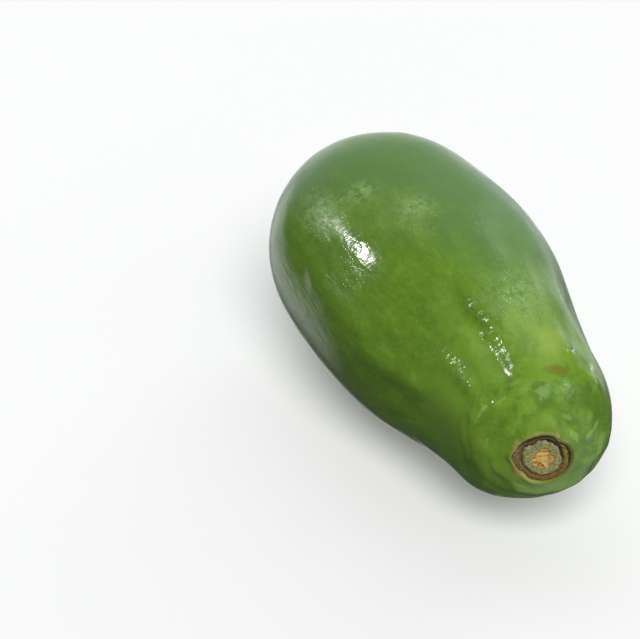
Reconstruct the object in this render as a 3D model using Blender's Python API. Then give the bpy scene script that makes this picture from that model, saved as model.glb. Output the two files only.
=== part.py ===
"""Whole green papaya, lying on its side on a small flat spot.

The fruit is one solid. Its stem end points to +X and carries the round scar
where it was cut from the tree; its blossom end points to -X. The origin is the
middle of the footprint, at the level of the surface the fruit lies on.
Lengths are in metres, angles in degrees.
"""

import math

import bpy
import bmesh
import numpy as np
from mathutils import Matrix

# Size and attitude of the fruit
LENGTH = 0.250
STEM_END_LEAN = 4.0
REST_SPOT_DEPTH = 0.0009

# Half-width of the fruit at shares of its length, from the blossom end to the stem end
HALF_WIDTHS = (
    (0.03, 0.0260),
    (0.14, 0.0530),
    (0.30, 0.0630),
    (0.46, 0.0640),
    (0.61, 0.0585),
    (0.74, 0.0490),
    (0.85, 0.0420),
    (0.93, 0.0340),
    (0.98, 0.0205),
)

# Bend of the centre line: an even arch over the length, and a turn of the neck
ARCH_PITCH = 8.0
NECK_START = 0.60
NECK_YAW = -26.0
NECK_PITCH = 3.5

# Blunt ribs: place round the fruit, height as a share of the half-width, half-width of the crest
RIBS = (
    (163.0, 0.040, 15.0),
    (112.0, 0.008, 22.0),
    (58.0, 0.030, 15.0),
    (-12.0, 0.030, 18.0),
    (-95.0, 0.020, 22.0),
)
RIBS_FADE_IN = (0.15, 0.65)
RIBS_FADE_OUT = (0.86, 1.0)
RIBS_LEFT_AT_STEM = 0.4

# Swellings (+) and hollows (-): share of the length, place round the fruit, height, extent of both
LUMPS = (
    (0.40, 25.0, 0.0025, 0.12, 30.0),
    (0.72, 25.0, -0.0075, 0.09, 20.0),
    (0.77, -145.0, 0.0030, 0.09, 25.0),
    (0.87, -120.0, 0.0065, 0.07, 25.0),
    (0.98, -40.0, 0.0030, 0.07, 25.0),
    (0.93, 140.0, 0.0008, 0.020, 12.0),
    (0.955, 32.0, 0.0010, 0.022, 16.0),
)

# Stem scar: radius and height of its rings, measured from the plane of its rim
SCAR_RADIUS = 0.0138
SCAR_PROFILE = (
    (0.0, 0.0002),
    (0.0046, 0.0000),
    (0.0054, 0.0005),
    (0.0086, 0.0006),
    (0.0094, 0.0002),
    (0.0099, -0.0014),
    (0.0106, -0.0013),
    (0.0112, -0.0003),
    (0.0131, -0.0005),
    (SCAR_RADIUS, -0.0007),
    (0.0147, 0.0004),
    (0.0170, 0.0003),
    (0.0215, 0.0),
)
SCAR_WAVES = ((2, 0.020, 80.0), (3, 0.030, 20.0), (5, 0.018, 150.0))
SCAR_TORN_CORNER = (178.0, 0.13, 13.0)
SCAR_CORNER_START = 0.0100
SCAR_OUTLINE_REACH = 0.0220
SCAR_DROOP = 8.0
SCAR_DROP = 0.0018
SCAR_DROOP_REACH = 0.0300
STUB_SHIFT_SIDE = -0.0006
STUB_SHIFT_UP = 0.0008
STUB_SHIFT_REACH = (0.0085, 0.0131)

# Blossom end: a small pit with a nub in it
PIT_RADIUS = 0.0045
PIT_DEPTH = 0.0016
NUB_RADIUS = 0.0016
NUB_HEIGHT = 0.0009

# Mesh density
SEGMENTS = 64
BODY_RINGS = 38
PIT_RADII = (0.0, 0.0015, 0.0032, 0.0055)
TABLE_STEPS = 2001

# Colours of the materials
SKIN_GREEN = (0.115, 0.260, 0.028, 1.0)
SKIN_ROUGHNESS = 0.32
CORK_BROWN = (0.330, 0.230, 0.110, 1.0)
CORK_ROUGHNESS = 0.85


def smooth_step(value, low, high):
    """Rises evenly from 0 at low to 1 at high, with level ends."""
    share = np.clip((value - low) / (high - low), 0.0, 1.0)
    return share * share * (3.0 - 2.0 * share)


def angle_off(angle, centre):
    """Signed angle from centre to angle, between -180 and 180."""
    return (angle - centre + 180.0) % 360.0 - 180.0


def end_rounding(share):
    """Half-width of an ellipse of full width 2, at a share of its length."""
    return np.sqrt(np.clip(4.0 * share * (1.0 - share), 0.0, 1.0))


def half_width(share):
    """Mean half-width of the fruit, through the stated values and round at both ends."""
    places, widths = np.array(HALF_WIDTHS).T
    fullness = widths / end_rounding(places)
    curve = np.polynomial.Polynomial.fit(places, fullness, len(places) - 1)
    return curve(share) * end_rounding(share)


def rib_factor(share, angle):
    """How far the ribs lift the skin, as a factor on the half-width."""
    fade_in = smooth_step(share, *RIBS_FADE_IN)
    fade_out = 1.0 - (1.0 - RIBS_LEFT_AT_STEM) * smooth_step(share, *RIBS_FADE_OUT)
    lift = sum(height * np.exp(-(angle_off(angle, place) / extent) ** 2) for place, height, extent in RIBS)
    return 1.0 + fade_in * fade_out * lift


def lump_height(share, angle):
    """Height of the swellings and hollows at a point of the skin."""
    total = 0.0
    for at_share, at_angle, height, share_extent, angle_extent in LUMPS:
        along = (share - at_share) / share_extent
        around = angle_off(angle, at_angle) / angle_extent
        total = total + height * np.exp(-along ** 2 - around ** 2)
    return total * end_rounding(share)


def centre_line(share):
    """Points, forward, side and up directions of the bent centre line."""
    steps = np.linspace(0.0, 1.0, TABLE_STEPS)
    turn = smooth_step(steps, NECK_START, 1.0)
    yaw = np.radians(NECK_YAW * turn)
    pitch = np.radians(ARCH_PITCH * (2.0 * steps - 1.0) + NECK_PITCH * turn)
    forward = np.stack([np.cos(pitch) * np.cos(yaw), np.cos(pitch) * np.sin(yaw), np.sin(pitch)])
    side = np.stack([-np.sin(yaw), np.cos(yaw), np.zeros_like(yaw)])
    up = np.cross(forward, side, axis=0)
    middle = 0.5 * (forward[:, 1:] + forward[:, :-1]) * LENGTH / (TABLE_STEPS - 1)
    points = np.concatenate([np.zeros((3, 1)), np.cumsum(middle, axis=1)], axis=1)
    tables = (points, forward, side, up)
    return [np.stack([np.interp(share, steps, row) for row in table]) for table in tables]


def share_at_radius(radius, stem_end):
    """Share of the length where the mean half-width equals radius, near one end."""
    steps = np.linspace(0.0, 0.3, TABLE_STEPS)
    shares = 1.0 - steps if stem_end else steps
    return float(np.interp(radius, half_width(shares), shares))


def scar_outline(radius, angle):
    """Factor on the scar's radius: gentle waves, and one torn corner in its outer band."""
    factor = 1.0
    for count, height, place in SCAR_WAVES:
        factor = factor + height * np.cos(np.radians(count * (angle - place)))
    place, height, extent = SCAR_TORN_CORNER
    corner = height * np.exp(-(angle_off(angle, place) / extent) ** 2)
    return factor + corner * smooth_step(radius, SCAR_CORNER_START, SCAR_RADIUS)


def end_relief(share, radius, angle, droop):
    """Offset along the centre line for the scar at the stem end and the pit at the blossom end."""
    rim_share = share_at_radius(SCAR_RADIUS, True)
    flatten = -LENGTH * np.maximum(share - rim_share, 0.0)
    profile = np.interp(radius, *np.array(SCAR_PROFILE).T)
    tilt = droop * radius * np.sin(np.radians(angle)) * math.tan(math.radians(SCAR_DROOP))
    pit = PIT_DEPTH * np.exp(-(radius / PIT_RADIUS) ** 2)
    nub = NUB_HEIGHT * np.exp(-(radius / NUB_RADIUS) ** 2)
    return np.where(share > 0.5, flatten + profile + tilt, pit - nub)


def skin_points(share, angle):
    """Points of the fruit's surface at shares of its length and angles round it."""
    centre, forward, side, up = centre_line(share)
    radius = half_width(share)
    spread = radius * rib_factor(share, angle) + lump_height(share, angle)
    stem_half = share > 0.5
    near_scar = stem_half * (1.0 - smooth_step(radius, SCAR_RADIUS, SCAR_OUTLINE_REACH))
    spread += (radius * scar_outline(radius, angle) - spread) * near_scar
    droop = stem_half * (1.0 - smooth_step(radius, SCAR_RADIUS, SCAR_DROOP_REACH))
    around = np.radians(angle)
    points = centre + spread * (np.cos(around) * side + np.sin(around) * up)
    points += end_relief(share, radius, angle, droop) * forward - SCAR_DROP * droop * up
    stub = stem_half * (1.0 - smooth_step(radius, *STUB_SHIFT_REACH))
    points += stub * (STUB_SHIFT_SIDE * side + STUB_SHIFT_UP * up)
    return points.T


def ring_shares():
    """Shares of the length for every ring of the mesh, from the blossom tip to the middle of the scar."""
    pit = [share_at_radius(radius, False) for radius in PIT_RADII]
    scar = [share_at_radius(radius, True) for radius, _ in reversed(SCAR_PROFILE)]
    first = math.acos(1.0 - 2.0 * pit[-1])
    last = math.acos(1.0 - 2.0 * scar[0])
    turns = np.linspace(first, last, BODY_RINGS + 2)[1:-1]
    return np.concatenate([pit, 0.5 * (1.0 - np.cos(turns)), scar])


def make_fruit_mesh():
    """A sphere whose rings are moved to the fruit's surface, its poles at the two ends."""
    shares = ring_shares()
    ring_count = len(shares) - 1
    shape = bmesh.new()
    bmesh.ops.create_uvsphere(shape, u_segments=SEGMENTS, v_segments=ring_count, radius=1.0)
    ball = np.array([vertex.co for vertex in shape.verts])
    polar = np.arccos(np.clip(-ball[:, 2], -1.0, 1.0))
    share = shares[np.rint(polar * ring_count / math.pi).astype(int)]
    angle = np.degrees(np.arctan2(ball[:, 1], ball[:, 0]))
    for vertex, point in zip(shape.verts, skin_points(share, angle)):
        vertex.co = point
    rim_share = share_at_radius(SCAR_RADIUS, True)
    for face in shape.faces:
        if min(share[vertex.index] for vertex in face.verts) >= rim_share:
            face.material_index = 1
    mesh = bpy.data.meshes.new("papaya")
    mesh.materials.append(make_material("green_skin", SKIN_GREEN, SKIN_ROUGHNESS))
    mesh.materials.append(make_material("cork", CORK_BROWN, CORK_ROUGHNESS))
    shape.to_mesh(mesh)
    shape.free()
    return mesh


def lay_down(mesh):
    """Leans the stem end down, presses the resting spot flat and centres the footprint on the origin."""
    mesh.transform(Matrix.Rotation(math.radians(STEM_END_LEAN), 4, "Y"))
    count = len(mesh.vertices)
    points = np.empty(3 * count)
    mesh.vertices.foreach_get("co", points)
    points = points.reshape(count, 3)
    floor = points[:, 2].min() + REST_SPOT_DEPTH
    points[:, 2] = np.maximum(points[:, 2], floor)
    middle = 0.5 * (points.min(axis=0) + points.max(axis=0))
    points -= (middle[0], middle[1], floor)
    mesh.vertices.foreach_set("co", points.ravel())
    mesh.update()


def make_material(name, colour, roughness):
    material = bpy.data.materials.new(name)
    material.use_nodes = True
    shader = material.node_tree.nodes["Principled BSDF"]
    shader.inputs["Base Color"].default_value = colour
    shader.inputs["Roughness"].default_value = roughness
    shader.inputs["Metallic"].default_value = 0.0
    return material


def main():
    for old in list(bpy.data.objects):
        bpy.data.objects.remove(old, do_unlink=True)
    collection = bpy.data.collections.new("papaya")
    bpy.context.scene.collection.children.link(collection)
    mesh = make_fruit_mesh()
    lay_down(mesh)
    mesh.shade_smooth()
    fruit = bpy.data.objects.new("papaya", mesh)
    collection.objects.link(fruit)


main()
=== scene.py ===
"""Looks of a whole green papaya: skin, stem scar, floor, light and camera. Lengths are in metres."""

import math

import bpy
import numpy as np
from mathutils import Matrix, Vector


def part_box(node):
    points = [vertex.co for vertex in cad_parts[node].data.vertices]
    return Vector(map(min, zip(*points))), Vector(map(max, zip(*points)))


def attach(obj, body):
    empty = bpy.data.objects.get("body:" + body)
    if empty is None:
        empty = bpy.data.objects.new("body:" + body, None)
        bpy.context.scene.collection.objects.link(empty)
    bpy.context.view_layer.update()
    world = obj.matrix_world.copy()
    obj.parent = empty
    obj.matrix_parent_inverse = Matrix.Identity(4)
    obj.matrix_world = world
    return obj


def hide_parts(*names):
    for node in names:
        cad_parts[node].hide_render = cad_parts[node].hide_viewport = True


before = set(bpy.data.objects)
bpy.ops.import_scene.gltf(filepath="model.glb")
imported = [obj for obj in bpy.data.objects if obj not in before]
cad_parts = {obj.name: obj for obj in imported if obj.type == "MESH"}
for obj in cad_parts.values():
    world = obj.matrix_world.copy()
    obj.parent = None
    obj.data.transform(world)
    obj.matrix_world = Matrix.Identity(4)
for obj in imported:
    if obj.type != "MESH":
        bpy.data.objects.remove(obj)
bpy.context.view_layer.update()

NODE = "papaya"
BODY = "root"

# Form of the fruit, as the construction states it
LENGTH = 0.250
STEM_END_LEAN = 4.0
HALF_WIDTHS = (
    (0.03, 0.0260),
    (0.14, 0.0530),
    (0.30, 0.0630),
    (0.46, 0.0640),
    (0.61, 0.0585),
    (0.74, 0.0490),
    (0.85, 0.0420),
    (0.93, 0.0340),
    (0.98, 0.0205),
)
ARCH_PITCH = 8.0
NECK_START = 0.60
NECK_YAW = -26.0
NECK_PITCH = 3.5
RIBS = (
    (163.0, 0.040, 15.0),
    (112.0, 0.008, 22.0),
    (58.0, 0.030, 15.0),
    (-12.0, 0.030, 18.0),
    (-95.0, 0.020, 22.0),
)
RIBS_FADE_IN = (0.15, 0.65)
RIBS_FADE_OUT = (0.86, 1.0)
RIBS_LEFT_AT_STEM = 0.4
LUMPS = (
    (0.40, 25.0, 0.0025, 0.12, 30.0),
    (0.72, 25.0, -0.0075, 0.09, 20.0),
    (0.77, -145.0, 0.0030, 0.09, 25.0),
    (0.87, -120.0, 0.0065, 0.07, 25.0),
    (0.98, -40.0, 0.0030, 0.07, 25.0),
    (0.93, 140.0, 0.0008, 0.020, 12.0),
    (0.955, 32.0, 0.0010, 0.022, 16.0),
)

# Stem scar, as the construction states it
SCAR_RADIUS = 0.0138
SCAR_PROFILE = (
    (0.0, 0.0002),
    (0.0046, 0.0000),
    (0.0054, 0.0005),
    (0.0086, 0.0006),
    (0.0094, 0.0002),
    (0.0099, -0.0014),
    (0.0106, -0.0013),
    (0.0112, -0.0003),
    (0.0131, -0.0005),
    (SCAR_RADIUS, -0.0007),
    (0.0147, 0.0004),
    (0.0170, 0.0003),
    (0.0215, 0.0),
)
SCAR_WAVES = ((2, 0.020, 80.0), (3, 0.030, 20.0), (5, 0.018, 150.0))
SCAR_TORN_CORNER = (178.0, 0.13, 13.0)
SCAR_CORNER_START = 0.0100
SCAR_OUTLINE_REACH = 0.0220
SCAR_DROOP = 8.0
SCAR_DROP = 0.0018
SCAR_DROOP_REACH = 0.0300
STUB_SHIFT_SIDE = -0.0006
STUB_SHIFT_UP = 0.0008
STUB_SHIFT_REACH = (0.0085, 0.0131)

# Finer edges of the scar, as angle, reach outwards and extent, and the radius and width where each acts
SKIN_EDGE = ((324.0, 0.0017, 28.0), (53.0, -0.0015, 15.0), (228.0, -0.0017, 15.0))
SKIN_EDGE_AT = (0.0138, 0.0026)
GROOVE_EDGE = (
    (318.0, 0.0018, 32.0),
    (275.0, 0.0005, 14.0),
    (229.0, -0.0008, 14.0),
    (124.0, -0.0016, 11.0),
    (12.0, -0.0009, 15.0),
)
GROOVE_EDGE_AT = (0.0096, 0.0024)
CORE_EDGE = ((318.0, 0.0020, 40.0), (140.0, -0.0010, 40.0))
CORE_EDGE_AT = (0.0052, 0.0026)

# Grain of the dry scar and of its core, as size and height, and the radii where each fades out
SCAR_GRAIN = ((0.0016, 0.00022), (0.0007, 0.00010))
CORE_GRAIN = ((0.0013, 0.00035),)
CORE_REACH = (0.0045, 0.0060)
SCAR_GRAIN_REACH = (0.0130, 0.0145)

# Blossom end, as the construction states it
PIT_RADIUS = 0.0045
PIT_DEPTH = 0.0016
NUB_RADIUS = 0.0016
NUB_HEIGHT = 0.0009

# Swelling on the upper side of the neck, too slight for the construction
FINE_LUMPS = ((0.785, 107.0, 0.0011, 0.035, 7.0),)

# Density of the fine mesh
SEGMENTS = 400
BODY_RINGS = 168
PIT_RINGS = 9
SCAR_RINGS = 62
PIT_REACH = 0.0060
SCAR_REACH = 0.0215
TABLE_STEPS = 2001
END_PART = 0.3

# Unevenness of the skin: wavelength and height of each scale, and how it lies in the solid's box
SKIN_INSET = 0.0004
TOP_CLEARANCE = 0.0003
SKIN_WAVES = ((0.034, 0.00040), (0.013, 0.00020), (0.0055, 0.00007))
SKIN_STRETCH = (0.6, 1.0, 1.0)
NECK_WAVES = ((0.0066, 0.00060), (0.0034, 0.00034))
NECK_ZONE = (0.86, 0.93)
NECK_STRETCH = (1.0, 0.45, 0.45)
RELIEF_FADE = (0.0142, 0.0175)
SLOPE_STEP = 0.0005

# Starting numbers of the noise for the neck, the scar and its core
NECK_SEED = 10
SCAR_SEED = 20
CORE_SEED = 21

# Folds and small lumps round the scar: share of the length, angle, height, extents of both
NECK_FOLDS = (
    (0.936, 146.0, 0.0010, 0.007, 5.0),
    (0.945, 136.0, 0.0009, 0.006, 5.0),
    (0.926, 135.0, -0.0006, 0.010, 8.0),
    (0.944, 91.0, -0.0010, 0.008, 8.0),
    (0.953, 90.0, 0.0008, 0.006, 7.0),
    (0.945, 70.0, 0.0008, 0.007, 6.0),
    (0.957, 62.0, -0.0006, 0.007, 6.0),
    (0.902, 46.0, 0.0007, 0.006, 5.0),
    (0.936, 44.0, -0.0008, 0.012, 9.0),
    (0.984, 46.0, 0.0010, 0.005, 12.0),
    (0.977, 52.0, -0.0009, 0.005, 10.0),
    (0.962, 33.0, 0.0009, 0.010, 7.0),
    (0.970, 20.0, 0.0010, 0.009, 7.0),
    (0.972, 4.0, -0.0008, 0.010, 8.0),
    (0.975, 200.0, 0.0008, 0.008, 12.0),
    (0.965, 225.0, -0.0006, 0.010, 12.0),
)

# Blunt ridges and furrows along the neck: angle, height, extent, and the shares where they start and end
NECK_RIDGES = (
    (101.0, 0.0009, 9.0, 0.62, 0.95),
    (117.5, -0.0024, 8.5, 0.62, 0.95),
    (116.0, -0.0008, 7.0, 0.62, 0.84),
    (144.5, 0.00075, 5.0, 0.72, 0.955),
    (158.0, 0.0013, 6.0, 0.32, 0.60),
    (166.0, 0.0014, 6.0, 0.52, 0.80),
    (68.0, 0.0012, 7.5, 0.60, 0.94),
    (55.0, -0.0010, 8.0, 0.60, 0.88),
)
RIDGE_FADE = 0.06

# Lumps in the wax, finer than the mesh: share of the length, angle, height, extents of both
WAX_LUMPS = (
    (0.716, 107.0, 3.0, 0.014, 5.5),
    (0.740, 109.0, 2.8, 0.012, 5.0),
    (0.762, 106.0, 2.6, 0.012, 5.0),
    (0.790, 113.0, 2.4, 0.012, 5.0),
    (0.852, 143.0, 2.6, 0.012, 5.0),
    (0.880, 143.0, 3.2, 0.013, 5.5),
    (0.858, 66.5, 1.8, 0.009, 4.0),
    (0.876, 69.0, 1.8, 0.009, 4.0),
    (0.904, 40.0, 3.4, 0.010, 5.5),
    (0.925, 158.0, 1.5, 0.008, 6.0),
)

# Pale strokes on the folds round the scar, partly paler skin and partly painted highlight: share of the
# length, angle, extents of both, strength
PALE_AND_HIGHLIT_STROKES = (
    (0.937, 149.0, 0.0035, 9.0, 0.80),
    (0.946, 127.0, 0.0030, 7.0, 0.55),
    (0.930, 112.0, 0.0030, 6.0, 0.45),
    (0.962, 20.0, 0.0160, 3.5, 0.60),
    (0.984, 38.0, 0.0030, 14.0, 0.65),
    (0.975, 60.0, 0.0030, 9.0, 0.50),
    (0.972, 205.0, 0.0030, 12.0, 0.60),
    (0.965, 172.0, 0.0030, 9.0, 0.45),
    (0.978, 245.0, 0.0030, 12.0, 0.50),
)

# Rubbed patches with dots, dusty wax and painted sheen, in the same order
ROUGH_PATCHES = (
    (0.27, 136.0, 0.055, 10.0, 1.0),
    (0.43, 101.0, 0.030, 8.0, 1.0),
    (0.31, 116.0, 0.028, 7.0, 1.0),
    (0.45, 143.0, 0.045, 5.0, 0.6),
    (0.725, 83.0, 0.055, 15.0, 1.0),
    (0.715, 50.0, 0.040, 8.0, 1.0),
    (0.944, 68.0, 0.012, 12.0, 1.0),
)

# Streaks of buckled skin, which glint, in the same order
BUCKLED_STREAKS = (
    (0.765, 108.5, 0.085, 9.0, 1.0),
    (0.82, 139.5, 0.090, 5.5, 1.0),
    (0.86, 67.0, 0.020, 4.0, 1.0),
    (0.944, 68.0, 0.012, 12.0, 1.0),
    (0.42, 132.0, 0.045, 8.0, 0.18),
)

# Duller patches, in the same order, with the roughness that each adds
MATT_PATCHES = (
    (0.60, 66.0, 0.14, 16.0, 0.42),
    (0.785, 65.0, 0.06, 11.0, 0.40),
    (0.27, 134.0, 0.07, 14.0, 0.16),
)

# Single patches: share of the length, angle, extents of both
PALE_NECK = (0.84, 88.0, 0.16, 42.0)
PALE_BELOW = (0.87, 162.0, 0.11, 36.0)
# A flat patch beside the scar with a painted bluish sheen
SHEEN_PATCH = (0.951, 89.0, 0.014, 10.0)
YELLOW_PATCH = (0.85, 77.0, 0.035, 11.0)
BROWN_SPOT = (0.916, 77.0, 0.012, 12.0)
DEEP_PATCH = (0.715, 50.0, 0.040, 8.0)
SCRATCHED_SIDE = (0.36, 176.0, 0.22, 13.0)

# Sizes of the skin's markings and of its finest relief
SKIN_SIZES = {
    "blotches": 0.022,
    "mottle": 0.0090,
    "stipple": 0.0026,
    "frayed edges": 0.0030,
    "flecks": 0.0052,
    "stray edge": 0.004,
    "dots": 0.0024,
    "dotted areas": 0.014,
    "dust": 0.0038,
    "grains": 0.0013,
    "crinkled areas": 0.016,
    "crinkles": 0.0032,
    "buckles": 0.0050,
    "strokes": 0.0013,
    "scratches": 0.0024,
    "pits": 0.0018,
    "dull areas": 0.018,
}
ALONG_GRAIN = (0.45, 1.0, 1.0)
ALONG_STROKES = (0.12, 1.0, 1.0)
ALONG_SCRATCHES = (0.16, 1.0, 1.0)

# Sizes of the scar's markings
SCAR_SIZES = {
    "ragged edges": 0.0018,
    "grain": 0.0007,
    "flecks": 0.0013,
    "fibres": 0.0006,
    "pale rings": 0.0011,
    "smudges": 0.0026,
}

# Depth of the finest relief, which the materials carry, and gloss
CRINKLE_DEPTH = 0.00035
SKIN_PIT_DEPTH = 0.00006
SCAR_GRAIN_DEPTH = 0.00018
SKIN_IOR = 1.45
SCAR_ROUGHNESS = 0.85

# Borders between the scar's colours, from the radius where one ends to where the next is full
CORE_BORDER = (0.0042, 0.0062)
GROOVE_INNER_BORDER = (0.0096, 0.0099)
GROOVE_OUTER_BORDER = (0.0099, 0.0103)
RIM_BORDER = (0.0129, 0.0134)

# Colours, as linear light
GREEN = (0.116, 0.226, 0.021, 1.0)
GREEN_YELLOWISH = (0.146, 0.260, 0.018, 1.0)
GREEN_BLUISH = (0.067, 0.179, 0.025, 1.0)
GREEN_DEEP = (0.078, 0.172, 0.016, 1.0)
GREEN_PALE = (0.195, 0.345, 0.036, 1.0)
YELLOW = (0.340, 0.470, 0.050, 1.0)
OLIVE = (0.170, 0.180, 0.022, 1.0)
STRAW = (0.340, 0.350, 0.095, 1.0)
DOT = (0.230, 0.350, 0.070, 1.0)
# Pale bluish wax bloom, also the colour of painted sheen
BLOOM_AND_SHEEN = (0.230, 0.390, 0.120, 1.0)
# Paler skin and painted highlight of the strokes round the scar
STROKE_PALE = (0.260, 0.420, 0.080, 1.0)
CORE_TAN = (0.680, 0.450, 0.130, 1.0)
CORE_ORANGE = (0.300, 0.125, 0.025, 1.0)
STUB_PALE = (0.375, 0.358, 0.150, 1.0)
STUB_GREY = (0.190, 0.172, 0.060, 1.0)
STUB_DARK = (0.070, 0.062, 0.024, 1.0)
BAND_BROWN = (0.190, 0.120, 0.045, 1.0)
BAND_TAN = (0.300, 0.225, 0.085, 1.0)
BAND_OLIVE = (0.330, 0.285, 0.038, 1.0)
BAND_RUST = (0.270, 0.110, 0.028, 1.0)
BAND_GREY = (0.140, 0.110, 0.060, 1.0)
GROOVE_DARK = (0.034, 0.031, 0.018, 1.0)
# Dark brown of the rim, smudges and cracks, and the painted shade under the skin's lip
RIM_DARK = (0.050, 0.026, 0.008, 1.0)
FLOOR_WHITE = (0.780, 0.772, 0.778, 1.0)
FLOOR_SOFT = (0.770, 0.762, 0.768, 1.0)

# Camera: where the photograph was taken from, for a frame 640 pixels wide
AZIMUTH = 59.94
ELEVATION = 37.0
DISTANCE = 1.3545
LENS = 150.0
SENSOR = 36.0
FRAME_SIZE = (640.0, 639.0)
AIM = Vector((0.0, 0.0, 0.06))
AIM_PIXEL = (447.8, 322.1)

# Soft light all round, as seen from the fruit: azimuth, elevation, full out to, gone at, brightness
GLOWS = {
    "back_wall": (-118.0, 22.0, 34.0, 66.0, 0.85),
    "rear_window": (-162.0, 22.0, 6.0, 18.0, 1.50),
    "right_wall": (115.0, 20.0, 18.0, 42.0, 0.45),
    "table_right": (112.0, -42.0, 32.0, 58.0, 0.58),
    "table_left": (-75.0, -26.0, 4.0, 25.0, 1.10),
    "table_rear": (-153.0, -14.0, 4.0, 15.0, 0.50),
    "table_behind": (-120.0, -37.0, 5.0, 19.0, 0.60),
}
ROOM_GLOW = 0.09
GLOW_TINT = (0.93, 1.0, 0.96, 1.0)
BACKDROP = 0.93

# Key light, which shapes the fruit but isn't mirrored in it: azimuth, elevation, angle, strength
KEY = (66.0, 53.0, 34.0, 2.50)
KEY_DISTANCE = 2.0

# Small lamps, which only glint on the skin: azimuth, elevation, distance, width, height, brightness.
# The low one stands for a glint that comes up from the table.
GLINTS = {
    "glint_front": (-42.0, 31.0, 1.6, 0.11, 0.18, 75.0),
    "glint_rear": (-160.0, 38.0, 1.6, 0.16, 0.16, 34.0),
    "glint_low": (-168.0, -6.0, 1.6, 0.08, 0.10, 18.0),
}
FLOOR_HALF = 15.0
FLOOR_GLOW = 0.25
FLOOR_TONE_SIZE = 0.5


def smooth_step(value, low, high):
    """Rises evenly from 0 at low to 1 at high, with level ends."""
    share = np.clip((value - low) / (high - low), 0.0, 1.0)
    return share * share * (3.0 - 2.0 * share)


def angle_off(angle, centre):
    """Signed angle from centre to angle, between -180 and 180."""
    return (angle - centre + 180.0) % 360.0 - 180.0


def end_rounding(share):
    """Half-width of an ellipse of full width 2, at a share of its length."""
    return np.sqrt(np.clip(4.0 * share * (1.0 - share), 0.0, 1.0))


def half_width(share):
    """Mean half-width of the fruit, through the stated values and round at both ends."""
    places, widths = np.array(HALF_WIDTHS).T
    fullness = widths / end_rounding(places)
    curve = np.polynomial.Polynomial.fit(places, fullness, len(places) - 1)
    return curve(share) * end_rounding(share)


def rib_factor(share, angle):
    """How far the ribs lift the skin, as a factor on the half-width."""
    fade_in = smooth_step(share, *RIBS_FADE_IN)
    fade_out = 1.0 - (1.0 - RIBS_LEFT_AT_STEM) * smooth_step(share, *RIBS_FADE_OUT)
    lift = 0.0
    for place, height, extent in RIBS:
        lift = lift + height * np.exp(-(angle_off(angle, place) / extent) ** 2)
    return 1.0 + fade_in * fade_out * lift


def lump_height(share, angle, lumps):
    """Height of the swellings and hollows at a point of the skin."""
    total = 0.0
    for at_share, at_angle, height, share_extent, angle_extent in lumps:
        along = (share - at_share) / share_extent
        around = angle_off(angle, at_angle) / angle_extent
        total = total + height * np.exp(-along ** 2 - around ** 2)
    return total * end_rounding(share)


def centre_line(share):
    """Points, forward, side and up directions of the bent centre line."""
    steps = np.linspace(0.0, 1.0, TABLE_STEPS)
    turn = smooth_step(steps, NECK_START, 1.0)
    yaw = np.radians(NECK_YAW * turn)
    pitch = np.radians(ARCH_PITCH * (2.0 * steps - 1.0) + NECK_PITCH * turn)
    forward = np.stack([np.cos(pitch) * np.cos(yaw), np.cos(pitch) * np.sin(yaw), np.sin(pitch)])
    side = np.stack([-np.sin(yaw), np.cos(yaw), np.zeros_like(yaw)])
    up = np.cross(forward, side, axis=0)
    middle = 0.5 * (forward[:, 1:] + forward[:, :-1]) * LENGTH / (TABLE_STEPS - 1)
    points = np.concatenate([np.zeros((3, 1)), np.cumsum(middle, axis=1)], axis=1)
    tables = (points, forward, side, up)
    return [np.stack([np.interp(share, steps, row) for row in table]) for table in tables]


def share_at_radius(radius, stem_end):
    """Share of the length where the mean half-width equals radius, near one end."""
    steps = np.linspace(0.0, END_PART, TABLE_STEPS)
    shares = 1.0 - steps if stem_end else steps
    return np.interp(radius, half_width(shares), shares)


def scar_outline(radius, angle):
    """Factor on the scar's radius: gentle waves, and one torn corner in its outer band."""
    factor = 1.0
    for count, height, place in SCAR_WAVES:
        factor = factor + height * np.cos(np.radians(count * (angle - place)))
    place, height, extent = SCAR_TORN_CORNER
    corner = height * np.exp(-(angle_off(angle, place) / extent) ** 2)
    return factor + corner * smooth_step(radius, SCAR_CORNER_START, SCAR_RADIUS)


def edge_shift(radius, angle, bumps, place):
    """How far one edge of the scar strays from its circle, fading away from that edge."""
    at, extent = place
    reach = 0.0
    for towards, height, width in bumps:
        reach = reach + height * np.exp(-(angle_off(angle, towards) / width) ** 2)
    return reach * np.exp(-((radius - at) / extent) ** 2)


def scar_grain(radius, angle):
    """Roughness of the dry scar, along the fruit's centre line."""
    around = np.radians(angle)
    spots = np.stack([radius * np.cos(around), radius * np.sin(around), np.zeros_like(radius)]).T
    inside = 1.0 - smooth_step(radius, *SCAR_GRAIN_REACH)
    core = 1.0 - smooth_step(radius, *CORE_REACH)
    relief = sum(height * inside * noise(spots, size, SCAR_SEED) for size, height in SCAR_GRAIN)
    return relief + sum(height * core * noise(spots, size, CORE_SEED) for size, height in CORE_GRAIN)


def end_relief(share, radius, angle, droop):
    """Offset along the centre line for the scar at the stem end and the pit at the blossom end."""
    rim_share = share_at_radius(SCAR_RADIUS, True)
    flatten = -LENGTH * np.maximum(share - rim_share, 0.0)
    profile = np.interp(radius, *np.array(SCAR_PROFILE).T)
    tilt = droop * radius * np.sin(np.radians(angle)) * math.tan(math.radians(SCAR_DROOP))
    pit = PIT_DEPTH * np.exp(-(radius / PIT_RADIUS) ** 2)
    nub = NUB_HEIGHT * np.exp(-(radius / NUB_RADIUS) ** 2)
    return np.where(share > 0.5, flatten + profile + tilt, pit - nub)


def hashed(x, y, z, seed):
    """A repeatable value between -1 and 1 for each whole-number place."""
    mask = 0xFFFFFFFF
    mixed = (x * 374761393 + y * 668265263 + z * 1274126177 + seed * 974634777) & mask
    mixed = ((mixed ^ (mixed >> 13)) * 1103515245) & mask
    mixed = ((mixed ^ (mixed >> 15)) * 1274126177) & mask
    return (mixed ^ (mixed >> 16)) / 2.0 ** 31 - 1.0


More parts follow.
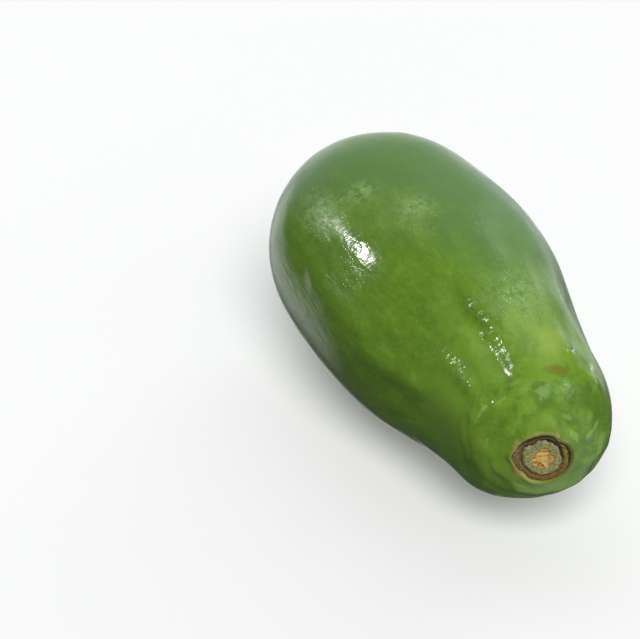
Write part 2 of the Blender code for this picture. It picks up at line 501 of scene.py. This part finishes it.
def noise(points, wavelength, seed):
    """Smooth noise between -1 and 1 at rows of points."""
    scaled = points / wavelength
    cell = np.floor(scaled).astype(np.int64)
    part = scaled - cell
    part = part ** 3 * (part * (6.0 * part - 15.0) + 10.0)
    total = 0.0
    for corner in np.ndindex(2, 2, 2):
        weight = np.prod(np.where(corner, part, 1.0 - part), axis=1)
        x, y, z = (cell + corner).T
        total = total + weight * hashed(x, y, z, seed)
    return total


def ridge_height(share, angle):
    """Height of the ridges and furrows that run along the neck."""
    total = 0.0
    for place, height, extent, start, end in NECK_RIDGES:
        fade_in = smooth_step(share, start, start + RIDGE_FADE)
        fade_out = 1.0 - smooth_step(share, end - RIDGE_FADE, end)
        across = np.exp(-(angle_off(angle, place) / extent) ** 2)
        total = total + height * fade_in * fade_out * across
    return total


def skin_relief(straight, share, angle):
    """Fine unevenness of the skin, measured outwards."""
    relief = np.full_like(share, -SKIN_INSET)
    for seed, (wavelength, height) in enumerate(SKIN_WAVES):
        relief += height * noise(straight * SKIN_STRETCH, wavelength, seed)
    relief += lump_height(share, angle, FINE_LUMPS)
    return relief + ridge_height(share, angle) + fold_height(straight, share, angle)


def fold_height(straight, share, angle):
    """Height of the folds and small lumps round the scar."""
    zone = smooth_step(share, *NECK_ZONE)
    height = np.zeros_like(share)
    for seed, (wavelength, swell) in enumerate(NECK_WAVES):
        height += swell * zone * noise(straight * NECK_STRETCH, wavelength, NECK_SEED + seed)
    for at_share, at_angle, swell, share_extent, angle_extent in NECK_FOLDS:
        along = (share - at_share) / share_extent
        around = angle_off(angle, at_angle) / angle_extent
        height += swell * np.exp(-along ** 2 - around ** 2)
    return height


def outward(share):
    """Parts of the skin's outward direction: along the centre line, and away from it."""
    rise = half_width(share + SLOPE_STEP) - half_width(share - SLOPE_STEP)
    slope = rise / (2.0 * SLOPE_STEP * LENGTH)
    steepness = np.sqrt(1.0 + slope ** 2)
    return -slope / steepness, 1.0 / steepness


def skin_points(share, angle):
    """Points of the fruit's surface at shares of its length and angles round it."""
    centre, forward, side, up = centre_line(share)
    radius = half_width(share)
    around = np.radians(angle)
    straight = np.stack([share * LENGTH, radius * np.cos(around), radius * np.sin(around)]).T
    spread = radius * rib_factor(share, angle) + lump_height(share, angle, LUMPS)
    stem_half = share > 0.5
    near_scar = stem_half * (1.0 - smooth_step(radius, SCAR_RADIUS, SCAR_OUTLINE_REACH))
    scar_spread = radius * scar_outline(radius, angle)
    scar_spread += edge_shift(radius, angle, SKIN_EDGE, SKIN_EDGE_AT)
    scar_spread += edge_shift(radius, angle, GROOVE_EDGE, GROOVE_EDGE_AT)
    scar_spread += edge_shift(radius, angle, CORE_EDGE, CORE_EDGE_AT)
    spread += (scar_spread - spread) * near_scar
    droop = stem_half * (1.0 - smooth_step(radius, SCAR_RADIUS, SCAR_DROOP_REACH))
    lift = end_relief(share, radius, angle, droop)
    fading = np.where(stem_half, smooth_step(radius, *RELIEF_FADE), 1.0)
    relief = fading * skin_relief(straight, share, angle)
    along, away = outward(share)
    lift += relief * along + stem_half * scar_grain(radius, angle)
    spread += relief * away
    points = centre + spread * (np.cos(around) * side + np.sin(around) * up)
    points += lift * forward - SCAR_DROP * droop * up
    stub = stem_half * (1.0 - smooth_step(radius, *STUB_SHIFT_REACH))
    points += stub * (STUB_SHIFT_SIDE * side + STUB_SHIFT_UP * up)
    return points.T, straight, radius


def ring_shares():
    """Shares of the length at which the rings of the fine mesh lie, without its two tips."""
    pit = share_at_radius(np.linspace(0.0, PIT_REACH, PIT_RINGS + 1)[1:], False)
    scar = share_at_radius(np.linspace(SCAR_REACH, 0.0, SCAR_RINGS + 1)[:-1], True)
    first = math.acos(1.0 - 2.0 * pit[-1])
    last = math.acos(1.0 - 2.0 * scar[0])
    turns = np.linspace(first, last, BODY_RINGS + 2)[1:-1]
    return np.concatenate([pit, 0.5 * (1.0 - np.cos(turns)), scar])


def laid_down(points):
    """Leans the stem end down, sets the fruit in the CAD node's box and flattens the resting spot."""
    lean = np.array(Matrix.Rotation(math.radians(STEM_END_LEAN), 3, "Y"))
    points = points @ lean.T
    low, high = (np.array(corner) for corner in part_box(NODE))
    middle = 0.5 * (points.min(axis=0) + points.max(axis=0))
    shift = 0.5 * (low + high) - middle
    shift[2] = high[2] - TOP_CLEARANCE - points[:, 2].max()
    points = points + shift
    points[:, 2] = np.maximum(points[:, 2], 0.0)
    return points


def add_attribute(mesh, name, kind, values, domain="POINT"):
    layer = mesh.attributes.new(name, kind, domain)
    key = "vector" if kind == "FLOAT_VECTOR" else "value"
    layer.data.foreach_set(key, np.ascontiguousarray(values, dtype=np.float32).ravel())


def make_fruit():
    """The fine surface of the whole fruit, with the places that its materials read."""
    rings = ring_shares()
    step = 360.0 / SEGMENTS
    turns = np.arange(SEGMENTS) * step - 90.0
    share = np.concatenate([[0.0], np.repeat(rings, SEGMENTS), [1.0]])
    angle = np.concatenate([[0.0], np.tile(turns, len(rings)), [0.0]])
    points, straight, radius = skin_points(share, angle)

    corners = 1 + np.arange(len(rings) * SEGMENTS).reshape(len(rings), SEGMENTS)
    onward = np.roll(corners, -1, axis=1)
    quads = np.stack([corners[:-1], onward[:-1], onward[1:], corners[1:]], axis=-1).reshape(-1, 4)
    tip = len(share) - 1
    faces = quads.tolist()
    faces += [[0, after, before] for before, after in zip(corners[0].tolist(), onward[0].tolist())]
    faces += [[tip, before, after] for before, after in zip(corners[-1].tolist(), onward[-1].tolist())]
    mesh = bpy.data.meshes.new("papaya_fruit")
    mesh.from_pydata(laid_down(points).tolist(), [], faces)
    mesh.shade_smooth()
    rim_share = share_at_radius(SCAR_RADIUS, True)
    in_scar = [min(share[corner] for corner in face) >= rim_share for face in faces]
    mesh.polygons.foreach_set("material_index", np.array(in_scar, dtype=np.int32))
    add_attribute(mesh, "straight", "FLOAT_VECTOR", straight)
    add_attribute(mesh, "share", "FLOAT", share)
    face_angles = np.stack([turns, turns + step, turns + step, turns]).T
    tip_angles = np.stack([turns + 0.5 * step, turns + step, turns]).T
    scar_angles = np.stack([turns + 0.5 * step, turns, turns + step]).T
    face_angles = np.tile(face_angles.ravel(), len(rings) - 1)
    corner_angles = np.concatenate([face_angles, tip_angles.ravel(), scar_angles.ravel()])
    add_attribute(mesh, "angle", "FLOAT", corner_angles, "CORNER")
    add_attribute(mesh, "scar_radius", "FLOAT", np.where(share > 0.5, radius, 1.0))
    # Fold heights, which the skin reads for its painted highlight and shade
    add_attribute(mesh, "fold", "FLOAT", 1000.0 * fold_height(straight, share, angle))
    mesh.update()
    fruit = bpy.data.objects.new("papaya_fruit", mesh)
    bpy.context.scene.collection.objects.link(fruit)
    return fruit


class Nodes:
    """Short calls for building a material's node tree."""

    def __init__(self, name):
        self.material = bpy.data.materials.new(name)
        self.material.use_nodes = True
        self.tree = self.material.node_tree
        self.shader = self.tree.nodes["Principled BSDF"]

    def put(self, socket, value):
        if isinstance(value, bpy.types.NodeSocket):
            self.tree.links.new(value, socket)
        else:
            socket.default_value = value

    def attribute(self, name, output):
        node = self.tree.nodes.new("ShaderNodeAttribute")
        node.attribute_name = name
        return node.outputs[output]

    def math(self, operation, first, second=0.0, clamp=False):
        node = self.tree.nodes.new("ShaderNodeMath")
        node.operation = operation
        node.use_clamp = clamp
        self.put(node.inputs[0], first)
        self.put(node.inputs[1], second)
        return node.outputs[0]

    def scaled(self, vector, factors):
        node = self.tree.nodes.new("ShaderNodeVectorMath")
        node.operation = "MULTIPLY"
        self.put(node.inputs[0], vector)
        node.inputs[1].default_value = factors
        return node.outputs[0]

    def noise(self, vector, size, detail=3.0, roughness=0.5, distortion=0.0):
        node = self.tree.nodes.new("ShaderNodeTexNoise")
        self.put(node.inputs["Vector"], vector)
        node.inputs["Scale"].default_value = 1.0 / size
        node.inputs["Detail"].default_value = detail
        node.inputs["Roughness"].default_value = roughness
        node.inputs["Distortion"].default_value = distortion
        return node.outputs["Fac"]

    def cells(self, vector, size):
        node = self.tree.nodes.new("ShaderNodeTexVoronoi")
        self.put(node.inputs["Vector"], vector)
        node.inputs["Scale"].default_value = 1.0 / size
        return node.outputs["Distance"]

    def between(self, value, low, high, start=0.0, end=1.0):
        node = self.tree.nodes.new("ShaderNodeMapRange")
        node.interpolation_type = "SMOOTHSTEP"
        self.put(node.inputs["Value"], value)
        node.inputs["From Min"].default_value = low
        node.inputs["From Max"].default_value = high
        node.inputs["To Min"].default_value = start
        node.inputs["To Max"].default_value = end
        return node.outputs["Result"]

    def mix(self, factor, first, second):
        node = self.tree.nodes.new("ShaderNodeMix")
        node.data_type = "RGBA"
        self.put(node.inputs["Factor"], factor)
        self.put(node.inputs[6], first)
        self.put(node.inputs[7], second)
        return node.outputs[2]

    def spot(self, share, angle, at_share, at_angle, share_extent, angle_extent):
        """1 in the middle of a soft spot on the fruit, 0 outside it."""
        along = self.math("DIVIDE", self.math("SUBTRACT", share, at_share), share_extent)
        around = self.math("DIVIDE", self.math("SUBTRACT", angle, at_angle), angle_extent)
        square = self.math("MULTIPLY", along, along)
        square = self.math("ADD", square, self.math("MULTIPLY", around, around))
        return self.math("EXPONENT", self.math("MULTIPLY", square, -1.0))

    def spots(self, share, angle, table):
        """Sum of soft spots, each with its own strength in its middle."""
        total = None
        for *patch, strength in table:
            one = self.math("MULTIPLY", self.spot(share, angle, *patch), strength)
            total = one if total is None else self.math("ADD", total, one)
        return total

    def around(self, place, towards, full, gone):
        """1 within full degrees of an angle round the fruit, 0 past gone degrees."""
        flat = self.tree.nodes.new("ShaderNodeVectorMath")
        flat.operation = "NORMALIZE"
        self.put(flat.inputs[0], self.scaled(place, (0.0, 1.0, 1.0)))
        facing = self.tree.nodes.new("ShaderNodeVectorMath")
        facing.operation = "DOT_PRODUCT"
        self.put(facing.inputs[0], flat.outputs[0])
        turn = math.radians(towards)
        facing.inputs[1].default_value = (0.0, math.cos(turn), math.sin(turn))
        low, high = math.cos(math.radians(gone)), math.cos(math.radians(full))
        return self.between(facing.outputs["Value"], low, high)

    def bump(self, height, distance, below=None):
        node = self.tree.nodes.new("ShaderNodeBump")
        node.inputs["Strength"].default_value = 1.0
        node.inputs["Distance"].default_value = distance
        self.put(node.inputs["Height"], height)
        if below is not None:
            self.put(node.inputs["Normal"], below)
        return node.outputs["Normal"]


def skin_material():
    """Waxy green skin: soft blotches, a paler neck, rubbed patches, dots, crinkles and pits, with
    painted highlight, shade and sheen on its folds, strokes and patches.
    """
    nodes = Nodes("papaya_skin")
    sizes = SKIN_SIZES
    place = nodes.attribute("straight", "Vector")
    share = nodes.attribute("share", "Fac")
    angle = nodes.attribute("angle", "Fac")
    radius = nodes.attribute("scar_radius", "Fac")
    lengthwise = nodes.scaled(place, ALONG_GRAIN)
    split = nodes.tree.nodes.new("ShaderNodeSeparateXYZ")
    nodes.put(split.inputs[0], place)

    blotches = nodes.noise(place, sizes["blotches"], 4.0, 0.55, 0.4)
    mottle = nodes.noise(lengthwise, sizes["mottle"], 5.0, 0.60, 0.6)
    colour = nodes.mix(nodes.between(blotches, 0.40, 0.70, 0.0, 0.45), GREEN, GREEN_YELLOWISH)
    colour = nodes.mix(nodes.between(mottle, 0.51, 0.36, 0.0, 0.50), colour, GREEN_DEEP)
    colour = nodes.mix(nodes.between(mottle, 0.53, 0.66, 0.0, 0.38), colour, GREEN_PALE)
    stipple = nodes.noise(lengthwise, sizes["stipple"], 5.0, 0.70, 0.4)
    colour = nodes.mix(nodes.between(stipple, 0.48, 0.36, 0.0, 0.36), colour, GREEN_DEEP)
    colour = nodes.mix(nodes.between(stipple, 0.54, 0.66, 0.0, 0.30), colour, GREEN_PALE)

    # A deeper, bluer green over one side of the body and towards the blossom end: partly the skin's own
    # deeper green, partly a painted bluish sheen
    end_side = nodes.math("MAXIMUM", nodes.math("SUBTRACT", 0.095, split.outputs["X"]), 0.0)
    cool = nodes.math("ADD", split.outputs["Y"], nodes.math("MULTIPLY", end_side, 0.8))
    wander = nodes.math("MULTIPLY", nodes.math("SUBTRACT", blotches, 0.5), 0.05)
    cool = nodes.between(nodes.math("ADD", cool, wander), -0.026, 0.008, 0.0, 0.80)
    body_side = nodes.between(split.outputs["X"], 0.150, 0.195, 1.0, 0.0)
    colour = nodes.mix(nodes.math("MULTIPLY", cool, body_side), colour, GREEN_BLUISH)

    neck = nodes.spot(share, angle, *PALE_NECK)
    ragged = nodes.between(mottle, 0.34, 0.60, 0.35, 1.0)
    colour = nodes.mix(nodes.math("MULTIPLY", neck, ragged), colour, GREEN_PALE)
    below = nodes.math("MULTIPLY", nodes.spot(share, angle, *PALE_BELOW), 0.60)
    under = nodes.between(share, 0.92, 0.965, 0.0, 0.55)
    under = nodes.math("MULTIPLY", under, nodes.around(place, 240.0, 45.0, 95.0))
    colour = nodes.mix(nodes.math("ADD", below, under, True), colour, GREEN_PALE)
    # Raised folds get paler green as painted highlight, and their hollows deeper green as painted shade
    frayed = nodes.math("SUBTRACT", nodes.noise(place, sizes["frayed edges"], 4.0, 0.6), 0.5)
    fold = nodes.math("ADD", nodes.attribute("fold", "Fac"), nodes.math("MULTIPLY", frayed, 0.5))
    colour = nodes.mix(nodes.between(fold, 0.25, 0.42, 0.0, 0.60), colour, GREEN_PALE)
    colour = nodes.mix(nodes.between(fold, -0.10, -0.50, 0.0, 0.55), colour, GREEN_DEEP)

    worn = nodes.between(share, 0.88, 0.93)
    worn = nodes.math("MULTIPLY", worn, nodes.around(place, 80.0, 75.0, 110.0))
    flecks = nodes.noise(place, sizes["flecks"], 3.0, 0.6, 0.5)
    pale_flecks = nodes.math("MULTIPLY", nodes.between(flecks, 0.575, 0.615, 0.0, 0.42), worn)
    colour = nodes.mix(pale_flecks, colour, GREEN_PALE)
    dark_flecks = nodes.math("MULTIPLY", nodes.between(flecks, 0.41, 0.37, 0.0, 0.45), worn)
    colour = nodes.mix(dark_flecks, colour, GREEN_DEEP)
    # Pale strokes on the folds round the scar: partly paler skin, partly painted highlight
    for *patch, strength in PALE_AND_HIGHLIT_STROKES:
        stroke = nodes.math("ADD", nodes.spot(share, angle, *patch), nodes.math("MULTIPLY", frayed, 1.2))
        colour = nodes.mix(nodes.between(stroke, 0.42, 0.66, 0.0, strength), colour, STROKE_PALE)
    # Painted bluish sheen on a flat patch beside the scar
    sheen_patch = nodes.math("ADD", nodes.spot(share, angle, *SHEEN_PATCH), nodes.math("MULTIPLY", frayed, 1.6))
    colour = nodes.mix(nodes.between(sheen_patch, 0.50, 0.72, 0.0, 0.6), colour, BLOOM_AND_SHEEN)
    yellow = nodes.math("MULTIPLY", nodes.spot(share, angle, *YELLOW_PATCH), 0.60)
    colour = nodes.mix(yellow, colour, YELLOW)
    brown = nodes.math("ADD", nodes.spot(share, angle, *BROWN_SPOT), nodes.math("MULTIPLY", frayed, 0.5))
    colour = nodes.mix(nodes.between(brown, 0.25, 0.85, 0.0, 0.85), colour, OLIVE)

    stray = nodes.math("MULTIPLY", nodes.noise(place, sizes["stray edge"], 3.0), 0.005)
    strayed = nodes.between(nodes.math("ADD", radius, stray), 0.0165, 0.0205, 0.60, 0.0)
    colour = nodes.mix(strayed, colour, OLIVE)
    halo = nodes.math("ADD", radius, nodes.math("MULTIPLY", frayed, 0.009))
    halo = nodes.between(halo, 0.0143, 0.0166, 0.70, 0.0)
    upper_side = nodes.around(place, 105.0, 45.0, 75.0)
    lower_side = nodes.around(place, 235.0, 15.0, 45.0)
    pale_side = nodes.math("ADD", upper_side, lower_side)
    colour = nodes.mix(nodes.math("MULTIPLY", halo, pale_side), colour, STRAW)
    ruddy = nodes.math("MULTIPLY", halo, nodes.around(place, 205.0, 5.0, 25.0))
    colour = nodes.mix(ruddy, colour, BAND_RUST)

    deep = nodes.math("MULTIPLY", nodes.spot(share, angle, *DEEP_PATCH), 0.6)
    colour = nodes.mix(deep, colour, GREEN_DEEP)
    scuffed = nodes.spots(share, angle, ROUGH_PATCHES)
    dots = nodes.between(nodes.cells(place, sizes["dots"]), 0.16, 0.30, 0.80, 0.0)
    patchy = nodes.between(nodes.noise(place, sizes["dotted areas"], 2.0), 0.50, 0.68, 0.0, 0.6)
    patchy = nodes.math("ADD", patchy, scuffed, True)
    colour = nodes.mix(nodes.math("MULTIPLY", dots, patchy), colour, DOT)
    # Pale bluish dust on the rubbed patches: partly wax bloom, partly painted sheen
    dust_and_sheen = nodes.between(nodes.noise(place, sizes["dust"], 5.0, 0.70), 0.40, 0.58, 0.0, 0.85)
    colour = nodes.mix(nodes.math("MULTIPLY", dust_and_sheen, scuffed), colour, BLOOM_AND_SHEEN)
    grains = nodes.between(nodes.noise(place, sizes["grains"], 2.0), 0.44, 0.36, 0.0, 0.5)
    colour = nodes.mix(nodes.math("MULTIPLY", grains, scuffed), colour, GREEN_DEEP)

    streaks = nodes.spots(share, angle, BUCKLED_STREAKS)
    crinkled = nodes.between(nodes.noise(place, sizes["crinkled areas"], 2.0), 0.42, 0.66, 0.16, 0.38)
    crinkled = nodes.math("ADD", crinkled, nodes.math("MULTIPLY", streaks, 1.1))
    crinkled = nodes.math("ADD", crinkled, nodes.math("MULTIPLY", scuffed, 0.3))
    height = nodes.math("MULTIPLY", nodes.noise(lengthwise, sizes["crinkles"], 2.0, 0.45, 0.8), crinkled)
    buckles = nodes.math("MULTIPLY", nodes.noise(place, sizes["buckles"], 1.0, 0.4, 0.6), 3.2)
    height = nodes.math("ADD", height, nodes.math("MULTIPLY", buckles, streaks))
    strokes = nodes.noise(nodes.scaled(place, ALONG_STROKES), sizes["strokes"], 3.0, 0.6)
    height = nodes.math("ADD", height, nodes.math("MULTIPLY", strokes, 0.08))
    scratches = nodes.noise(nodes.scaled(place, ALONG_SCRATCHES), sizes["scratches"], 3.0, 0.6, 0.3)
    scratched = nodes.math("MULTIPLY", nodes.spot(share, angle, *SCRATCHED_SIDE), 1.2)
    height = nodes.math("ADD", height, nodes.math("MULTIPLY", scratches, scratched))
    for at_share, at_angle, swell, share_extent, angle_extent in WAX_LUMPS:
        lump = nodes.spot(share, angle, at_share, at_angle, share_extent, angle_extent)
        height = nodes.math("ADD", height, nodes.math("MULTIPLY", lump, swell))
    normal = nodes.bump(height, CRINKLE_DEPTH)
    pitted = nodes.math("ADD", 0.25, nodes.math("MULTIPLY", scuffed, 2.0))
    pits = nodes.between(nodes.cells(place, sizes["pits"]), 0.05, 0.35)
    pits = nodes.math("MULTIPLY", pits, pitted)
    normal = nodes.bump(pits, SKIN_PIT_DEPTH, normal)

    rough = nodes.between(nodes.noise(place, sizes["dull areas"], 4.0, 0.6), 0.3, 0.7, 0.10, 0.20)
    rough = nodes.math("ADD", rough, nodes.math("MULTIPLY", streaks, 0.035))
    rough = nodes.math("ADD", rough, nodes.spots(share, angle, MATT_PATCHES))
    nodes.put(nodes.shader.inputs["Base Color"], colour)
    nodes.put(nodes.shader.inputs["Roughness"], rough)
    nodes.put(nodes.shader.inputs["Normal"], normal)
    nodes.shader.inputs["IOR"].default_value = SKIN_IOR
    return nodes.material


def scar_material():
    """Dry stem scar: rough tan core, pale fibrous stub, dark groove, brown band and a dark rim, drawn
    thicker on the upper right as painted shade under the skin's lip.
    """
    nodes = Nodes("papaya_scar")
    sizes = SCAR_SIZES
    place = nodes.attribute("straight", "Vector")
    radius = nodes.attribute("scar_radius", "Fac")
    angle = nodes.attribute("angle", "Fac")
    flat = nodes.scaled(place, (0.0, 1.0, 1.0))
    ragged = nodes.math("SUBTRACT", nodes.noise(flat, sizes["ragged edges"], 4.0, 0.6), 0.5)
    uneven = nodes.math("ADD", radius, nodes.math("MULTIPLY", ragged, 0.0016))
    grain = nodes.noise(flat, sizes["grain"], 3.0, 0.7)
    flecks = nodes.noise(flat, sizes["flecks"], 3.0, 0.65)

    polar = nodes.tree.nodes.new("ShaderNodeCombineXYZ")
    nodes.put(polar.inputs["X"], nodes.math("MULTIPLY", radius, 0.45))
    nodes.put(polar.inputs["Y"], nodes.math("MULTIPLY", angle, 0.00010))
    fibres = nodes.noise(polar.outputs[0], sizes["fibres"], 3.0, 0.65)

    core = nodes.mix(nodes.between(flecks, 0.44, 0.56), CORE_ORANGE, CORE_TAN)
    core = nodes.mix(nodes.between(uneven, 0.0024, 0.0036, 0.85, 0.0), core, CORE_TAN)
    stub = nodes.mix(nodes.between(fibres, 0.42, 0.56), STUB_GREY, STUB_PALE)
    stub = nodes.mix(nodes.between(grain, 0.48, 0.38, 0.0, 0.9), stub, STUB_DARK)
    pale_rings = nodes.noise(polar.outputs[0], sizes["pale rings"], 1.0, 0.4)
    stub = nodes.mix(nodes.between(pale_rings, 0.50, 0.62, 0.0, 0.5), stub, STUB_PALE)

    band = nodes.mix(nodes.between(flecks, 0.40, 0.62), BAND_BROWN, BAND_TAN)
    band = nodes.mix(nodes.around(place, 95.0, 30.0, 70.0), band, BAND_GREY)
    band = nodes.mix(nodes.around(place, 20.0, 15.0, 35.0), band, BAND_OLIVE)
    rusty = nodes.around(place, 275.0, 35.0, 75.0)
    rusty = nodes.math("MULTIPLY", rusty, nodes.between(flecks, 0.35, 0.60))
    band = nodes.mix(rusty, band, BAND_RUST)
    band = nodes.mix(nodes.between(grain, 0.46, 0.36, 0.0, 0.85), band, BAND_GREY)
    smudges = nodes.between(nodes.noise(flat, sizes["smudges"], 3.0, 0.6), 0.40, 0.30, 0.0, 0.9)
    band = nodes.mix(smudges, band, RIM_DARK)
    cracks = nodes.math("ABSOLUTE", nodes.math("SUBTRACT", fibres, 0.5))
    band = nodes.mix(nodes.between(cracks, 0.012, 0.035, 0.7, 0.0), band, RIM_DARK)

    grainy = nodes.math("MULTIPLY", nodes.math("SUBTRACT", grain, 0.5), 0.0040)
    colour = nodes.mix(nodes.between(nodes.math("ADD", uneven, grainy), *CORE_BORDER), core, stub)
    wide_groove = nodes.math("MULTIPLY", nodes.around(place, 35.0, 25.0, 60.0), 0.0004)
    inner = nodes.math("ADD", uneven, wide_groove)
    colour = nodes.mix(nodes.between(inner, *GROOVE_INNER_BORDER), colour, GROOVE_DARK)
    outer = nodes.math("SUBTRACT", uneven, wide_groove)
    colour = nodes.mix(nodes.between(outer, *GROOVE_OUTER_BORDER), colour, band)
    # The dark rim is the scar's own dark brown edge, and where it is thicker on the upper right it is
    # painted shade under the skin's lip
    rim_shade_width = nodes.math("MULTIPLY", nodes.around(place, 60.0, 50.0, 95.0), 0.0011)
    rim = nodes.math("ADD", uneven, rim_shade_width)
    rim = nodes.math("ADD", rim, nodes.math("MULTIPLY", ragged, 0.0010))
    colour = nodes.mix(nodes.between(rim, *RIM_BORDER), colour, RIM_DARK)
    nodes.put(nodes.shader.inputs["Base Color"], colour)
    normal = nodes.bump(nodes.math("ADD", grain, fibres), SCAR_GRAIN_DEPTH)
    nodes.put(nodes.shader.inputs["Normal"], normal)
    nodes.shader.inputs["Roughness"].default_value = SCAR_ROUGHNESS
    return nodes.material


def floor_material():
    """Plain pale floor."""
    nodes = Nodes("studio_floor")
    place = nodes.tree.nodes.new("ShaderNodeTexCoord").outputs["Object"]
    tone = nodes.between(nodes.noise(place, FLOOR_TONE_SIZE, 1.0), 0.3, 0.7)
    nodes.put(nodes.shader.inputs["Base Color"], nodes.mix(tone, FLOOR_WHITE, FLOOR_SOFT))
    nodes.shader.inputs["Roughness"].default_value = 1.0
    nodes.shader.inputs["Specular IOR Level"].default_value = 0.0
    nodes.shader.inputs["Emission Color"].default_value = FLOOR_WHITE
    nodes.shader.inputs["Emission Strength"].default_value = FLOOR_GLOW
    return nodes.material


def make_floor():
    """A wide plain floor, which lets the glows through from below and isn't mirrored in the fruit."""
    bpy.ops.mesh.primitive_plane_add(size=2.0 * FLOOR_HALF, location=(0.0, 0.0, 0.0))
    floor = bpy.context.object
    floor.name = "studio_floor"
    floor.data.materials.append(floor_material())
    floor.visible_diffuse = False
    floor.visible_glossy = False
    floor.visible_shadow = False
    return floor


def direction(azimuth, elevation):
    """Unit vector towards an azimuth, 0 being -Y and 90 being +X, and an elevation."""
    azimuth, elevation = math.radians(azimuth), math.radians(elevation)
    level = math.cos(elevation)
    return Vector((math.sin(azimuth) * level, -math.cos(azimuth) * level, math.sin(elevation)))


def hang_light(name, data, towards, distance):
    light = bpy.data.objects.new(name, data)
    light.location = AIM + distance * towards
    light.rotation_euler = towards.to_track_quat("Z", "Y").to_euler()
    light.visible_camera = False
    bpy.context.scene.collection.objects.link(light)
    return light


def make_lights():
    azimuth, elevation, angle, strength = KEY
    key = bpy.data.lights.new("key", "SUN")
    key.angle = math.radians(angle)
    key.energy = strength
    hang_light("key", key, direction(azimuth, elevation), KEY_DISTANCE).visible_glossy = False
    for name, (azimuth, elevation, distance, width, height, brightness) in GLINTS.items():
        data = bpy.data.lights.new(name, "AREA")
        data.shape = "RECTANGLE"
        data.size = width
        data.size_y = height
        data.energy = brightness * math.pi * width * height
        hang_light(name, data, direction(azimuth, elevation), distance).visible_diffuse = False


def make_world():
    """Soft glows round the fruit, and a plain backdrop for the camera."""
    world = bpy.data.worlds.new("studio_world")
    world.use_nodes = True
    tree = world.node_tree
    towards = tree.nodes.new("ShaderNodeTexCoord").outputs["Generated"]
    total = None
    for azimuth, elevation, full, gone, brightness in GLOWS.values():
        facing = tree.nodes.new("ShaderNodeVectorMath")
        facing.operation = "DOT_PRODUCT"
        tree.links.new(towards, facing.inputs[0])
        facing.inputs[1].default_value = direction(azimuth, elevation)
        glow = tree.nodes.new("ShaderNodeMapRange")
        glow.interpolation_type = "SMOOTHSTEP"
        tree.links.new(facing.outputs["Value"], glow.inputs["Value"])
        glow.inputs["From Min"].default_value = math.cos(math.radians(gone))
        glow.inputs["From Max"].default_value = math.cos(math.radians(full))
        glow.inputs["To Max"].default_value = brightness
        adding = tree.nodes.new("ShaderNodeMath")
        tree.links.new(glow.outputs["Result"], adding.inputs[0])
        adding.inputs[1].default_value = ROOM_GLOW
        if total is not None:
            tree.links.new(total, adding.inputs[1])
        total = adding.outputs[0]
    on_camera = tree.nodes.new("ShaderNodeLightPath").outputs["Is Camera Ray"]
    seen = tree.nodes.new("ShaderNodeMix")
    tree.links.new(on_camera, seen.inputs["Factor"])
    tree.links.new(total, seen.inputs["A"])
    seen.inputs["B"].default_value = BACKDROP
    tree.links.new(seen.outputs["Result"], tree.nodes["Background"].inputs["Strength"])
    tint = tree.nodes.new("ShaderNodeMix")
    tint.data_type = "RGBA"
    tree.links.new(on_camera, tint.inputs["Factor"])
    tint.inputs[6].default_value = GLOW_TINT
    tint.inputs[7].default_value = (1.0, 1.0, 1.0, 1.0)
    tree.links.new(tint.outputs[2], tree.nodes["Background"].inputs["Color"])
    bpy.context.scene.world = world


def make_camera():
    """Looks at the photograph's angle, with the fruit right of the middle as it shows there."""
    back = direction(AZIMUTH, ELEVATION)
    right = Vector((0.0, 0.0, 1.0)).cross(back).normalized()
    up = back.cross(right)
    pixels = LENS / SENSOR * FRAME_SIZE[0]
    across = (AIM_PIXEL[0] - 0.5 * FRAME_SIZE[0]) / pixels * DISTANCE
    down = (AIM_PIXEL[1] - 0.5 * FRAME_SIZE[1]) / pixels * DISTANCE
    data = bpy.data.cameras.new("camera")
    data.lens = LENS
    data.sensor_width = SENSOR
    data.sensor_fit = "HORIZONTAL"
    camera = bpy.data.objects.new("camera", data)
    place = AIM + DISTANCE * back - across * right + down * up
    turn = Matrix((right, up, back)).transposed().to_4x4()
    camera.matrix_world = Matrix.Translation(place) @ turn
    bpy.context.scene.collection.objects.link(camera)
    bpy.context.scene.camera = camera


fruit = make_fruit()
fruit.data.materials.append(skin_material())
fruit.data.materials.append(scar_material())
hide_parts(NODE)
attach(fruit, BODY)

make_floor()
make_lights()
make_world()
make_camera()
bpy.context.scene.view_settings.view_transform = "Standard"
